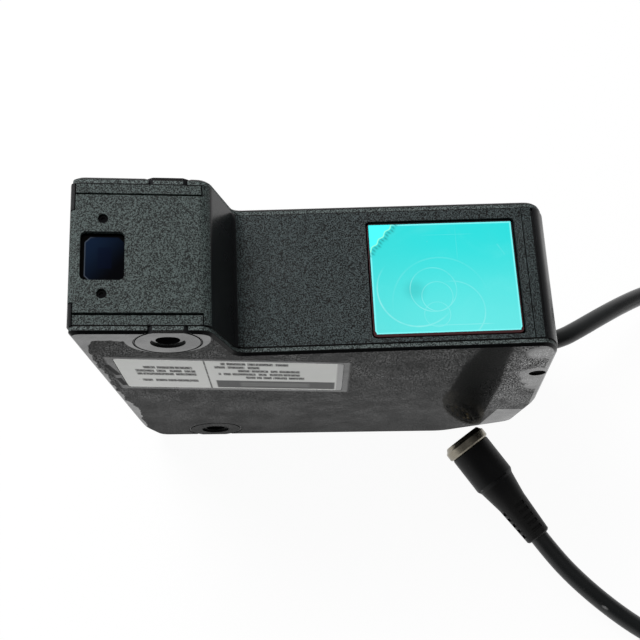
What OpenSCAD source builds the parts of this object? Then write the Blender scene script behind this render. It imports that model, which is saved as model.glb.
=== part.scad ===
// Laser displacement sensor head with a short cable.
// A flat cast head stands on its back with the optics up. A raised transmitter block is on the left,
// a tilted receiver face with a large filter is on the right, and thin covers close both big faces.
// The cable leaves the right end and comes back round to its round connector in front of the head.

/* [Head] */
// Height from the back to the transmitter face
head_h = 93; // [85:0.5:105]
// Thickness over both side covers
head_t = 36; // [34:0.5:44]
// Width of the transmitter face
tx_w = 30; // [28:0.5:36]
// Drop from the transmitter face to the foot of the receiver face
step_drop = 15.7; // [12:0.1:18]
// Sideways run of the sloped wall between the two faces
step_run = 6.7; // [4:0.1:10]
// Length of the receiver face along its slope
rx_len = 71.5; // [70:0.5:80]
// Upward tilt of the receiver face, in degrees
rx_tilt = 6; // [3:0.5:9]
// Lean of the left end, in degrees
left_lean = 10; // [6:0.5:12]
// Lean of the right end, in degrees
right_lean = 12; // [8:0.5:15]
// Sideways run of the rounded shoulder at the right end
shoulder_run = 3.5; // [2:0.1:6]
// Drop of the rounded shoulder at the right end
shoulder_drop = 5.2; // [3:0.1:8]
// Height of the upright part of the right end, where the cable comes out
port_top = 34; // [30:0.5:40]
// Height of the heel at the right
heel_h = 12; // [8:0.5:14]
// Run of the slope under the heel
heel_run = 18.2; // [14:0.1:24]
// Height of the toe at the left
toe_h = 10; // [6:0.5:14]
// Run of the slope under the toe
toe_run = 4.7; // [3:0.1:8]
// How far the edge rounding reaches from each corner
corner_reach = 2.4; // [1:0.1:3]

/* [Casting] */
// Wall of the cast housing
wall = 2.6; // [2:0.1:3.2]
// Wall behind the transmitter panel
tx_wall = 3; // [2.5:0.1:4]
// Wall behind the receiver panel
rx_wall = 3.8; // [3.2:0.1:5]
// Thickness of the bench plate that carries the optics
web_t = 2.4; // [2:0.1:3]
// Depth of the board pocket behind the bench plate
board_room = 4.9; // [4.7:0.1:6]
// Radius of the mounting bosses
boss_r = 7; // [6:0.1:8]
// Distance of a boss centre from the front or back face
boss_edge = 6.5; // [6:0.1:9]
// Diameter of the mounting bores
mount_d = 5.3; // [4.2:0.1:5.6]
// Diameter of the shallow seat round each mounting bore
seat_d = 7.6; // [7:0.1:9]
// Depth of that seat
seat_depth = 0.5; // [0.3:0.1:1]
// Front boss, distance from the left corner
front_boss_x = 21.2; // [20:0.1:22]
// Back boss, distance from the left corner
back_boss_x = 35; // [32:0.5:44]

/* [Covers] */
// Thickness of the side covers
cover_t = 1.7; // [1.4:0.1:2.2]
// How far the cover edges lie inside the housing
cover_inset = 0.3; // [0.1:0.1:0.6]
// Width of the bevel round each cover
cover_bevel = 0.6; // [0.4:0.1:1]
// Gap between a boss and its cut-out in the cover
boss_gap = 0.5; // [0.3:0.1:0.8]
// Head diameter of the cover screws
cover_head_d = 4; // [3.4:0.1:4.2]
// Thread diameter of the cover screws
cover_screw_d = 2; // [1.6:0.1:2.2]
// Length of the cover screws
cover_screw_l = 5.5; // [4:0.1:7]
// Depth of the recess for the label
label_depth = 0.2; // [0.1:0.05:0.4]
// Label, distance of its first corner from the left corner
label_x = 9; // [7:0.5:14]
// Label, drop of its first corner below the transmitter face
label_drop = 18; // [17:0.5:24]
// Length of the label
label_w = 53; // [40:0.5:56]
// Fall of the label over its length
label_fall = 5; // [2:0.5:6]
// Height of the label
label_h = 22.75; // [16:0.25:26]
// Lean of the label over its height
label_lean = 3; // [0:0.5:4]

/* [Front panels] */
// Thickness of the front panels
panel_t = 1.2; // [1:0.1:1.6]
// Seam round the panels
seam = 0.25; // [0.1:0.05:0.4]
// Height of the narrow inlays beside the transmitter panel
inlay_h = 2.3; // [1.8:0.1:3]
// How far the inlays lie below the panel
inlay_drop = 0.2; // [0.1:0.05:0.4]
// Width of the bare edge at the left of the transmitter face
edge_w = 1.3; // [1:0.1:2]
// Height of the wrapped middle of the transmitter panel
wrap_h = 21; // [19:0.5:24]
// Length of the receiver panel
rx_panel_len = 67.7; // [67:0.1:68.5]
// Width of the strip at the end of the receiver panel
end_strip_w = 2.1; // [1.5:0.1:2.4]

/* [Windows] */
// Transmitter window width
tx_win_w = 9.3; // [8:0.1:10]
// Transmitter window height
tx_win_h = 11.1; // [9:0.1:12]
// Transmitter window centre from the left corner
tx_win_x = 7.4; // [7:0.1:8]
// Rounding of the transmitter window
tx_win_r = 1.2; // [0.8:0.1:2]
// Lip of the transmitter glass under the panel
tx_lip = 0.6; // [0.4:0.1:0.8]
// Thickness of the transmitter glass
tx_glass_t = 1.2; // [1:0.1:1.5]
// Receiver filter width
rx_win_w = 34.6; // [30:0.1:35]
// Receiver filter height
rx_win_h = 28.2; // [24:0.1:28.6]
// Margin of the receiver panel beyond the filter
rx_margin = 1.85; // [1.2:0.05:2.5]
// Both windows, offset of the centre towards the label side
win_offset = 0.7; // [0:0.1:1]
// Rounding of the receiver filter
rx_win_r = 1; // [0.5:0.1:2]
// Thickness of the receiver filter
rx_glass_t = 2; // [1.6:0.1:2.4]
// How far the filter lies below the panel face
rx_sink = 0.4; // [0.2:0.1:0.8]
// Thickness of the window seals
seal_t = 0.5; // [0.3:0.1:0.6]
// Width of the window seals
seal_w = 1.6; // [1.2:0.1:2]
// Clearance round the glass
glass_gap = 0.35; // [0.2:0.05:0.5]
// Spacing of the two panel screws
panel_screw_pitch = 17.2; // [16.4:0.1:18]
// Head diameter of the panel screws
panel_head_d = 2; // [1.7:0.1:2.3]
// Thread diameter of the panel screws
panel_screw_d = 1.2; // [1:0.1:1.4]
// How far the heads of the panel screws lie below the panel
panel_head_sink = 0.5; // [0.2:0.1:0.6]

/* [Optics] */
// Drop from the transmitter face to the laser axis
laser_drop = 19; // [18.8:0.1:19.5]
// Beam position from the left corner
beam_x = 9.4; // [9.2:0.1:9.8]
// Diameter of the collimating lens
lens_d = 7; // [6:0.1:7.5]
// Thickness of the collimating lens
lens_t = 2.4; // [2:0.1:3]
// Diameter of the laser diode base
diode_d = 8; // [7:0.1:8.4]
// Diameter of the laser diode can
can_d = 4.7; // [4:0.1:5]
// Outer diameter of the receiver lens barrel
barrel_d = 18; // [16:0.1:18.4]
// Length of the receiver lens barrel
barrel_l = 18; // [16:0.5:22]
// Wall of the receiver lens barrel
barrel_wall = 1.5; // [1.2:0.1:2]
// Depth of the barrel below the receiver face
barrel_depth = 9; // [8:0.5:12]
// Depth of the image sensor below the receiver face
sensor_depth = 58; // [52:0.5:60]
// Thickness of the circuit boards
board_t = 1.6; // [1.2:0.1:1.8]
// Clearance of fitted pieces
fit = 0.05; // [0.02:0.01:0.1]

/* [Cable] */
// Cable diameter
cable_d = 5.4; // [5:0.1:6]
// Length of the gland outside the head
gland_l = 8.6; // [7:0.1:10]
// Width of the gland hexagon across its flats
gland_af = 13; // [12:0.5:15]
// Diameter of the gland thread
gland_d = 10; // [9:0.5:11]
// Thickness of the gland flange
flange_t = 3; // [2:0.1:4]
// Length of the gland thread inside the head
gland_in = 8; // [6.5:0.5:9]
// Thickness of the lock nut
nut_t = 3; // [2.5:0.1:3.5]
// Gland position from the middle of the thickness
gland_y = 2.5; // [2:0.1:3]

/* [Connector] */
// Length of the connector with its strain relief
plug_l = 35.5; // [32:0.5:36]
// Diameter of the metal ring
ring_d = 13.2; // [12:0.1:14]
// Length of the metal nose in front of the ring
nose_l = 0.8; // [0.6:0.1:1.5]
// Length of the metal ring
ring_l = 3; // [2.6:0.1:4]
// Diameter of the moulded grip
grip_d = 12.2; // [11:0.1:13]
// Length of the moulded grip
grip_l = 12; // [10:0.1:13]
// Length of the taper behind the grip
taper_l = 7.5; // [6:0.1:9]
// Diameter of the strain relief at the cable
relief_d = 7.4; // [7:0.1:8]
// Diameter of the strain relief at the taper
relief_top_d = 8.8; // [8.4:0.1:9.4]
// Depth of the slots that let the strain relief bend
slot_depth = 0.8; // [0.5:0.1:1]
// Number of slots in each row
slot_n = 5; // [4:1:6]
// Heading of the connector on the table, in degrees
plug_turn = 124.7; // [120:0.1:130]
// Number of contacts
pin_n = 8; // [6:1:10]

/* [Hidden] */
$fn = 48;

// The side outline, seen from the label side, starts at the left end of the back and runs anticlockwise
foot_left = [(head_h - toe_h) * tan(left_lean) + toe_run, 0];
rx_foot = [tx_w + step_run, head_h - step_drop];
rx_top = rx_foot + rx_len * [cos(rx_tilt), sin(rx_tilt)];
shoulder = rx_top + [shoulder_run, -shoulder_drop];
port_x = shoulder.x + (shoulder.y - port_top) * tan(right_lean);
sharp = [foot_left, [port_x - heel_run, 0], [port_x, heel_h], [port_x, port_top], shoulder, rx_top,
    rx_foot, [tx_w, head_h], [0, head_h], [foot_left.x - toe_run, toe_h]];
// The origin lies under the middle of the length from the left corner to the tip of the gland
mid_x = (port_x + gland_l) / 2;

// Across the thickness, the label side is negative
half_t = head_t / 2;
rim_y = half_t - cover_t;
web_far = rim_y - board_room;
web_near = web_far - web_t;
win_y = -win_offset;
face_z = head_h - panel_t;

// Bosses and screw posts are [distance from the left corner, height]
bosses = [[front_boss_x, head_h - boss_edge], [back_boss_x, boss_edge]];
post_wall = 1.8;
post_r = cover_screw_d / 2 + post_wall;
post_hole_r = cover_screw_d / 2 + fit;
screw_slack = 0.5;
far_screw_l = min(cover_screw_l, board_room + web_t / 2);
head_gap = 0.1;
hex_depth = 0.5;
panel_head_t = 0.4;
// The heads lie a little below the face of their cover
head_sink = cover_t - screw_cone() - 0.2;
// The right post keeps its place below the shoulder and in from the leaning end
right_post_drop = 17.9;
right_post_in = 3.1;
right_post = shoulder + [right_post_drop * tan(right_lean) - right_post_in, -right_post_drop];
heel_post_drop = 3.5;
heel_post = [port_x - heel_run, heel_h - heel_post_drop];
// On the far side, one more post under the receiver face and one beside the left end
face_post_run = 15.3;
face_post_drop = 8.3;
face_post = rx_foot + [face_post_run, -face_post_drop];
left_post_drop = 48;
left_post_in = 8;
left_post = [left_post_drop * tan(left_lean) + left_post_in, head_h - left_post_drop];
far_posts = [right_post, heel_post, face_post, left_post];

// The label leans with the ends and hides one screw
label_r = 1;
label_at = [label_x, head_h - label_drop];
label_outline = [label_at, label_at + [label_w, -label_fall],
    label_at + [label_w + label_lean, -label_fall - label_h], label_at + [label_lean, -label_h]];
hidden_post = label_at + [label_w / 4, -label_h / 2];
label_posts = [right_post, hidden_post];

// Receiver depths, from the panel face inwards
rx_seat = rx_sink + rx_glass_t + seal_t;
rx_back = panel_t + rx_wall;
rx_win_s = rx_panel_len - rx_margin - glass_gap - rx_win_w / 2;
foot_wall = 5;
barrel_r = barrel_d / 2;
cradle_half = barrel_r + 2.5;
cradle_top = barrel_depth + 4;
cradle_t = 9;
front_seat = 6;
front_edge = 2.5;
rear_seat = 5;
rear_edge = 2;
chip = [14, 9, 1.6];
sensor_pcb = [22, 18];

// Laser block along the bench plate
laser_z = head_h - laser_drop;
mirror_t = 1;
mirror_half = 3;
mirror_w = 11;
laser_x = 16;
laser_l = 14;
laser_half = 4.8;
lens_seat_l = lens_t + 0.4;
diode_seat_l = 3.5;
diode_base_t = 1.5;
can_l = 3.5;

// Main board, its [width, height], and its upper edge placed from the foot of the receiver face
board_size = [54, 48];
board_run = 6.3;
board_drop = 13.3;
board_at = rx_foot + [board_run, -board_drop - board_size.y];
board_post_h = 1.2;
board_post_r = 2.4;
board_hole_d = 2.2;
board_screw_d = 1.6;
board_head_d = 3.4;
board_head_t = 1;
board_holes = [for (u = [4, board_size.x - 4]) for (v = [4, board_size.y - 4]) board_at + [u, v]];
board_y = web_far + board_post_h;
cpu = [14, 14, 1.2];

port_z = (heel_h + port_top) / 2;
terminal_w = 6;
terminal_h = 9;
terminal_x = port_x - gland_in - 0.8 - terminal_w;
cable_r = cable_d / 2;
gland_bore_r = cable_r + 0.1;

// Cable route from the gland to the connector, lying on the table past the first bend
cable_points = [[64.8, 2.5, 23], [70, 3.7, 22.8], [76, 6.8, 21.9], [85, 12, 19.4], [94, 17, 16.2],
    [104, 22, 12], [115, 26, 7.6], [127, 27.8, 4.2], [140, 26.4, 2.9], [152.5, 21.4, 2.8],
    [163.5, 13.4, 2.8], [172.5, 3, 2.8], [179, -9, 2.8], [182.5, -22.5, 2.8], [183, -36.5, 2.8],
    [180, -50, 2.8], [174, -62.5, 2.8], [165, -73.4, 2.8], [154, -81.8, 2.8], [141, -87.2, 2.8],
    [127.5, -89.2, 2.8], [114, -87.6, 2.9], [101, -83.3, 3.5], [89.5, -77, 4.6], [80, -70, 5.6],
    [72.5, -63.3, 6.3], [66.7, -56.8, 6.6], [62.6, -50.9, 6.6]];
cable_sides = 12;
plug_end = cable_points[len(cable_points) - 1];

// Inside the connector, the contacts stand in a socket and end a little below its mouth
socket_r = ring_d / 2 - 1.9;
socket_depth = 2;
pin_r = 0.45;
pin_short = 0.4;
grip_z = plug_l - nose_l - ring_l;
slot_w = 3.2;
grip_slot_w = 4.4;

// Unit vector from a to b, and the normal on its left
function along(a, b) = (b - a) / norm(b - a);
function left_of(v) = [-v.y, v.x];
// Crossing of the line through p along u with the line through q along v
function cross_at(p, u, q, v) = p + u * ((q - p) * left_of(v)) / (u * left_of(v));
// A closed outline moved inwards by d, corner by corner
function inset(pts, d) = [for (i = [0 : len(pts) - 1])
    let (b = pts[i],
         u = along(pts[(i + len(pts) - 1) % len(pts)], b),
         v = along(b, pts[(i + 1) % len(pts)]))
    cross_at(b + d * left_of(u), u, b + d * left_of(v), v)];
// A closed outline with each corner eased over the given reach
function eased(pts, reach, steps = 5) = [for (i = [0 : len(pts) - 1])
    let (b = pts[i],
         p = b + reach * along(b, pts[(i + len(pts) - 1) % len(pts)]),
         q = b + reach * along(b, pts[(i + 1) % len(pts)]))
    for (k = [0 : steps]) let (t = k / steps) (1 - t) * (1 - t) * p + 2 * t * (1 - t) * b + t * t * q];

// Moves a shape drawn from the left corner to the origin's frame
module from_corner() {
    translate([-mid_x, 0, 0]) children();
}

// A side outline drawn in x and z, thickened from y0 to y1
module across(y0, y1) {
    translate([0, y1, 0]) rotate([90, 0, 0]) linear_extrude(y1 - y0) children();
}

// A cylinder through the thickness at p
module cross_pin(p, y0, y1, r) {
    translate([p.x, y1, p.y]) rotate([90, 0, 0]) cylinder(h = y1 - y0, r = r);
}

// The receiver's own frame: x along the face, z out of it
module on_receiver() {
    translate([rx_foot.x, 0, rx_foot.y]) rotate([0, -rx_tilt, 0]) children();
}

// A plate with rounded corners in x and y, centred, from z0 to z1
module plate(w, h, r, z0, z1) {
    translate([0, 0, z0]) linear_extrude(z1 - z0) offset(r = r) square([w - 2 * r, h - 2 * r], center = true);
}

module head_outline(d = 0) {
    polygon(eased(inset(sharp, d), corner_reach));
}

// The space inside the casting, kept clear of the thick walls behind both optical faces
module pocket_outline() {
    difference() {
        polygon(eased(inset(sharp, wall), corner_reach));
        translate([-tx_w, face_z - tx_wall]) square([3 * tx_w, head_h]);
        translate(rx_foot) rotate(rx_tilt) translate([-foot_wall, -rx_back]) square([2 * rx_len, head_h]);
        for (b = bosses) translate(b) circle(boss_r);
    }
}

// The parts of the head that lie in front of the two panel seats
module transmitter_slab(y0, y1, top = 0) {
    intersection() {
        across(y0, y1) head_outline();
        translate([-tx_w, y0 - 1, face_z]) cube([3 * tx_w, y1 - y0 + 2, panel_t - top]);
    }
}

module receiver_slab(s0, s1, y0, y1) {
    intersection() {
        across(y0, y1) head_outline();
        on_receiver() translate([s0, y0 - 1, -panel_t]) cube([s1 - s0, y1 - y0 + 2, panel_t + 3]);
    }
}

// Cast frame with both pockets, the bench plate, bosses, posts and window seats
module housing() {
    color("#2b2d30") from_corner() difference() {
        union() {
            difference() {
                across(-rim_y, rim_y) head_outline();
                across(-half_t, web_near) pocket_outline();
                across(web_far, half_t) pocket_outline();
            }
            intersection() {
                across(-half_t, half_t) head_outline(cover_inset);
                for (b = bosses) cross_pin(b, -half_t, half_t, boss_r);
            }
            for (p = label_posts) cross_pin(p, -rim_y, web_near + 0.5, post_r);
            for (p = far_posts) cross_pin(p, web_far - 0.5, rim_y, post_r);
            for (p = board_holes) cross_pin(p, web_far - 0.5, board_y, board_post_r);
        }
        for (b = bosses) {
            cross_pin(b, -half_t - 1, half_t + 1, mount_d / 2);
            cross_pin(b, -half_t - 1, -half_t + seat_depth, seat_d / 2);
            cross_pin(b, half_t - seat_depth, half_t + 1, seat_d / 2);
        }
        for (p = label_posts) cross_pin(p, -half_t, -rim_y + cover_screw_l, post_hole_r);
        for (p = far_posts) cross_pin(p, rim_y - far_screw_l, half_t, post_hole_r);
        for (p = board_holes) cross_pin(p, web_far - web_t / 2, half_t, board_screw_d / 2 + fit);
        transmitter_seat();
        receiver_seat();
        port_turn(-2 * wall, 2 * wall, gland_d / 2 + fit, gland_d / 2 + fit);
    }
}

// What is cut from the casting for the transmitter panel, its glass and its screws
module transmitter_seat() {
    translate([edge_w, -rim_y, face_z]) cube([tx_w + 20, 2 * rim_y, 10]);
    translate([-10, win_y - wrap_h / 2 - seam, face_z]) cube([30, wrap_h + 2 * seam, 10]);
    translate([tx_win_x, win_y, 0]) {
        plate(tx_win_w + 2 * tx_lip + 2 * glass_gap, tx_win_h + 2 * tx_lip + 2 * glass_gap, tx_win_r,
            face_z - tx_glass_t - seal_t, face_z + 1);
        plate(tx_win_w + 2 * tx_lip - 2 * seal_w, tx_win_h + 2 * tx_lip - 2 * seal_w, tx_win_r,
            face_z - tx_wall - 1, face_z);
    }
    for (y = panel_screw_ys()) translate([tx_win_x, y, face_z - tx_wall - 1])
        cylinder(h = tx_wall + 2, r = panel_screw_d / 2 + fit);
}

function panel_screw_ys() = [win_y - panel_screw_pitch / 2, win_y + panel_screw_pitch / 2];

// What is cut from the casting for the receiver panel, its filter and the light path
module receiver_seat() {
    on_receiver() {
        translate([0.2, -half_t, -panel_t]) cube([rx_panel_len + end_strip_w + 3 * seam, head_t, 20]);
        translate([rx_win_s, win_y, 0]) {
            plate(rx_win_w + 2 * glass_gap, rx_win_h + 2 * glass_gap, rx_win_r, -rx_seat, 1);
            plate(rx_win_w - 2 * seal_w, rx_win_h - 2 * seal_w, rx_win_r, -rx_back - 3, 0);
        }
    }
}

// One bevelled side cover with its boss cut-outs and screw seats
module side_cover(posts) {
    outer = eased(inset(sharp, cover_inset), corner_reach);
    inner = eased(inset(sharp, cover_inset + cover_bevel), corner_reach);
    n = len(outer);
    rings = [[outer, rim_y], [outer, half_t - cover_bevel], [inner, half_t]];
    difference() {
        polyhedron(
            points = [for (ring = rings) for (p = ring[0]) [p.x, -ring[1], p.y]],
            faces = concat(
                [[for (i = [0 : n - 1]) i]],
                [for (k = [0 : len(rings) - 2]) for (i = [0 : n - 1])
                    [k * n + i, (k + 1) * n + i, (k + 1) * n + (i + 1) % n, k * n + (i + 1) % n]],
                [[for (i = [n - 1 : -1 : 0]) (len(rings) - 1) * n + i]]));
        for (b = bosses) cross_pin(b, -half_t - 1, -rim_y + 1, boss_r + boss_gap);
        for (p = posts) {
            cross_pin(p, -half_t - 1, -rim_y + 1, cover_screw_d / 2 + 2 * head_gap);
            cross_pin(p, -half_t - 1, -half_t + head_sink, cover_head_d / 2 + head_gap);
            translate([p.x, -half_t + head_sink, p.y]) rotate([-90, 0, 0]) cylinder(
                h = screw_cone(), r1 = cover_head_d / 2 + head_gap, r2 = cover_screw_d / 2 + head_gap);
        }
    }
}

function screw_cone() = (cover_head_d - cover_screw_d) / 2;

module label_side_cover() {
    color("#313437") from_corner() difference() {
        side_cover(label_posts);
        across(-half_t - 1, -half_t + label_depth) offset(delta = seam / 2)
            polygon(eased(label_outline, label_r));
    }
}

module far_side_cover() {
    color("#313437") from_corner() mirror([0, 1, 0]) side_cover(far_posts);
}

// Bare label, flush in its recess
module label_sticker() {
    color("#b9bcc0") from_corner()
        across(-half_t, -half_t + label_depth) polygon(eased(label_outline, label_r));
}

// A countersunk screw that points into the head from the label side
module cover_screw(p, length) {
    difference() {
        union() {
            translate([p.x, -half_t + head_sink, p.y]) rotate([-90, 0, 0])
                cylinder(h = screw_cone(), r1 = cover_head_d / 2, r2 = cover_screw_d / 2);
            cross_pin(p, -half_t + head_sink + screw_cone() / 2, -rim_y + length, cover_screw_d / 2);
        }
        translate([p.x, -half_t + head_sink - hex_depth, p.y]) rotate([-90, 0, 0])
            cylinder(h = 2 * hex_depth, r = cover_screw_d * 0.4, $fn = 6);
    }
}

module label_cover_screws() {
    color("#1b1c1e") from_corner() for (p = label_posts) cover_screw(p, cover_screw_l - screw_slack);
}

module far_cover_screws() {
    color("#1b1c1e") from_corner() mirror([0, 1, 0])
        for (p = far_posts) cover_screw(p, far_screw_l - screw_slack);
}

// Textured transmitter panel: it wraps the left edge in its middle and closes the right edge
module transmitter_panel() {
    inlay_y = rim_y - inlay_h - seam;
    color("#3e4245") from_corner() difference() {
        intersection() {
            transmitter_slab(-rim_y + fit, rim_y - fit);
            translate([0, 0, face_z - 1]) linear_extrude(panel_t + 2) union() {
                translate([edge_w + seam, -inlay_y + seam]) square([tx_w, 2 * inlay_y - 2 * seam]);
                translate([tx_w - edge_w, -half_t]) square([edge_w + 5, head_t]);
                translate([0, win_y]) polygon([
                    [edge_w + 1, -wrap_h / 2 - 1], [edge_w + 1, wrap_h / 2 + 1],
                    [edge_w + seam, wrap_h / 2], [-5, wrap_h / 2],
                    [-5, -wrap_h / 2], [edge_w + seam, -wrap_h / 2]]);
            }
        }
        translate([tx_win_x, win_y, 0]) plate(tx_win_w, tx_win_h, tx_win_r, face_z - 1, head_h + 1);
        for (y = panel_screw_ys()) translate([tx_win_x, y, face_z]) {
            translate([0, 0, -1]) cylinder(h = panel_t + 2, r = panel_screw_d / 2 + head_gap);
            translate([0, 0, panel_t - panel_head_sink - panel_head_t])
                cylinder(h = panel_t, r = panel_head_d / 2 + head_gap);
        }
    }
}

// One of the two narrow inlays, on side 1 or -1
module inlay(side) {
    low = rim_y - inlay_h;
    color("#34383b") from_corner() intersection() {
        transmitter_slab(-rim_y, rim_y, inlay_drop);
        translate([edge_w + seam, side > 0 ? low : -rim_y + fit, 0])
            cube([tx_w - 2 * edge_w - 2 * seam, inlay_h - fit, 2 * head_h]);
    }
}

module upper_inlay() {
    inlay(1);
}

module lower_inlay() {
    inlay(-1);
}

// Textured receiver panel with the filter opening
module receiver_panel() {
    color("#3e4245") from_corner() difference() {
        receiver_slab(0.2 + fit, rx_panel_len, -rim_y + fit, rim_y - fit);
        on_receiver() translate([rx_win_s, win_y, 0])
            plate(rx_win_w + 2 * glass_gap, rx_win_h + 2 * glass_gap, rx_win_r, -5, 5);
    }
}

module receiver_end_strip() {
    color("#34383b") from_corner()
        receiver_slab(rx_panel_len + seam, rx_panel_len + seam + end_strip_w, -rim_y + fit, rim_y - fit);
}

// Two low-head screws that hold the transmitter panel and its glass
module panel_screws() {
    head_z = panel_t - panel_head_sink - panel_head_t;
    color("#141516") from_corner() for (y = panel_screw_ys()) translate([tx_win_x, y, face_z]) difference() {
        union() {
            translate([0, 0, head_z]) cylinder(h = panel_head_t, r = panel_head_d / 2);
            translate([0, 0, screw_slack - tx_wall])
                cylinder(h = tx_wall + head_z + head_gap - screw_slack, r = panel_screw_d / 2);
        }
        translate([0, 0, head_z + panel_head_t / 3]) cylinder(h = 1, r = panel_head_d * 0.25, $fn = 6);
    }
}

module transmitter_window() {
    color("#10162d") from_corner() translate([tx_win_x, win_y, 0])
        plate(tx_win_w + 2 * tx_lip, tx_win_h + 2 * tx_lip, tx_win_r, face_z - tx_glass_t, face_z);
}

module transmitter_seal() {
    color("#0c0c0d") from_corner() translate([tx_win_x, win_y, 0]) difference() {
        plate(tx_win_w + 2 * tx_lip, tx_win_h + 2 * tx_lip, tx_win_r,
            face_z - tx_glass_t - seal_t, face_z - tx_glass_t);
        plate(tx_win_w + 2 * tx_lip - 2 * seal_w, tx_win_h + 2 * tx_lip - 2 * seal_w, tx_win_r, 0, head_h);
    }
}

module receiver_filter() {
    color("#35d9dc") from_corner() on_receiver() translate([rx_win_s, win_y, 0])
        plate(rx_win_w, rx_win_h, rx_win_r, -rx_sink - rx_glass_t, -rx_sink);
}

module receiver_seal() {
    color("#0c0c0d") from_corner() on_receiver() translate([rx_win_s, win_y, 0]) difference() {
        plate(rx_win_w, rx_win_h, rx_win_r, -rx_seat, -rx_seat + seal_t);
        plate(rx_win_w - 2 * seal_w, rx_win_h - 2 * seal_w, rx_win_r, -rx_seat - 1, 0);
    }
}

// Wedge on the bench plate that carries the fold mirror at 45 degrees
module mirror_mount() {
    drop = mirror_t * sqrt(2);
    color("#6d7276") from_corner() across(win_y - mirror_w / 2, web_near) polygon([
        [beam_x - mirror_half * 0.75, laser_z + mirror_half * 0.75 - drop],
        [beam_x - mirror_half * 0.75, laser_z - mirror_half - 1],
        [beam_x + mirror_half + 1 - drop, laser_z - mirror_half - 1]]);
}

module fold_mirror() {
    color("#c9d3d8") from_corner() translate([beam_x, win_y, laser_z]) rotate([0, 45, 0])
        translate([-mirror_half, -mirror_w / 2, -mirror_t]) cube([2 * mirror_half, mirror_w, mirror_t]);
}

// A hole or a disc along the laser axis, from x0 to x1
module laser_turn(x0, x1, r) {
    translate([x0, win_y, laser_z]) rotate([0, 90, 0]) cylinder(h = x1 - x0, r = r);
}

module laser_holder() {
    color("#6d7276") from_corner() difference() {
        translate([laser_x, win_y - laser_half, laser_z - laser_half])
            cube([laser_l, web_near - win_y + laser_half, 2 * laser_half]);
        laser_turn(laser_x - 1, laser_x + laser_l + 1, can_d / 2 + 0.1);
        laser_turn(laser_x - 1, laser_x + lens_seat_l, lens_d / 2 + fit);
        laser_turn(laser_x + laser_l - diode_seat_l, laser_x + laser_l + 1, diode_d / 2 + fit);
    }
}

// Flat at the back and domed towards the mirror
module collimating_lens() {
    dome = lens_d;
    color("#bcd0da") from_corner() translate([laser_x + lens_seat_l, win_y, laser_z]) rotate([0, -90, 0])
        intersection() {
            cylinder(h = lens_t, r = lens_d / 2);
            translate([0, 0, lens_t - dome]) sphere(r = dome);
        }
}

module laser_diode() {
    base_x = laser_x + laser_l - diode_seat_l;
    color("#c7a75a") from_corner() {
        laser_turn(base_x, base_x + diode_base_t, diode_d / 2);
        laser_turn(base_x - can_l, base_x + 0.1, can_d / 2);
        for (a = [90, 210, 330]) translate([0, 1.3 * cos(a), 1.3 * sin(a)])
            laser_turn(base_x + diode_base_t - 0.1, base_x + diode_base_t + 3.5, 0.25);
    }
}

// Moves a piece onto the receiver's optical axis, with z out of the window
module on_axis() {
    from_corner() on_receiver() translate([rx_win_s, win_y, 0]) children();
}

// Block on the bench plate that holds the lens barrel
module lens_cradle() {
    color("#6d7276") on_axis() difference() {
        translate([-cradle_half, -cradle_half, -cradle_top - cradle_t])
            cube([2 * cradle_half, cradle_half + web_near - win_y, cradle_t]);
        translate([0, 0, -sensor_depth]) cylinder(h = sensor_depth, r = barrel_r + fit);
    }
}

module lens_barrel() {
    color("#1d1e20") on_axis() translate([0, 0, -barrel_depth - barrel_l]) difference() {
        cylinder(h = barrel_l, r = barrel_r);
        translate([0, 0, -1]) cylinder(h = barrel_l + 2, r = barrel_r - 2 * barrel_wall);
        translate([0, 0, barrel_l - front_seat]) cylinder(h = front_seat + 1, r = barrel_r - barrel_wall);
        translate([0, 0, -1]) cylinder(h = rear_seat + 1, r = barrel_r - barrel_wall);
    }
}

// A lens with one flat face at z = 0 and a dome above it
module dome_lens(r, edge, curve) {
    sag = curve - sqrt(curve * curve - r * r);
    intersection() {
        cylinder(h = edge + sag, r = r);
        translate([0, 0, edge + sag - curve]) sphere(r = curve);
    }
}

module front_lens() {
    color("#bcd0da") on_axis() translate([0, 0, -barrel_depth - front_seat])
        dome_lens(barrel_r - barrel_wall - fit, front_edge, 2 * barrel_r);
}

module rear_lens() {
    color("#bcd0da") on_axis() translate([0, 0, -barrel_depth - barrel_l + rear_seat]) mirror([0, 0, 1])
        dome_lens(barrel_r - barrel_wall - fit, rear_edge, 2 * barrel_r);
}

// Plate that stands on the bench and carries the sensor board square to the optical axis
module sensor_bracket() {
    deep = sensor_depth + chip.z + board_t;
    color("#6d7276") on_axis() translate([-sensor_pcb.x / 2, -sensor_pcb.y / 2, -deep - 2.5])
        cube([sensor_pcb.x, sensor_pcb.y / 2 + web_near - win_y, 2.5]);
}

module sensor_board() {
    deep = sensor_depth + chip.z + board_t;
    color("#1f5a35") on_axis() translate([-sensor_pcb.x / 2, -sensor_pcb.y / 2, -deep])
        cube([sensor_pcb.x, sensor_pcb.y - 2, board_t]);
}

module image_sensor() {
    color("#24262b") on_axis() translate([-chip.x / 2, -chip.y / 2, -sensor_depth - chip.z]) cube(chip);
}

// Signal board in the pocket behind the bench plate
module main_board() {
    color("#1f5a35") from_corner() difference() {
        across(board_y, board_y + board_t) translate(board_at) square(board_size);
        for (p = board_holes) cross_pin(p, board_y - 1, board_y + board_t + 1, board_hole_d / 2);
    }
}

module processor() {
    at = board_at + (board_size - [cpu.x, cpu.y]) / 2;
    color("#24262b") from_corner() translate([at.x, board_y + board_t, at.y]) cube([cpu.x, cpu.z, cpu.y]);
}

module board_screws() {
    top_y = board_y + board_t;
    color("#b8bcc0") from_corner() for (p = board_holes) {
        cross_pin(p, top_y, top_y + board_head_t, board_head_d / 2);
        cross_pin(p, web_far - web_t / 2 + 0.2, top_y + 0.1, board_screw_d / 2);
    }
}

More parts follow.
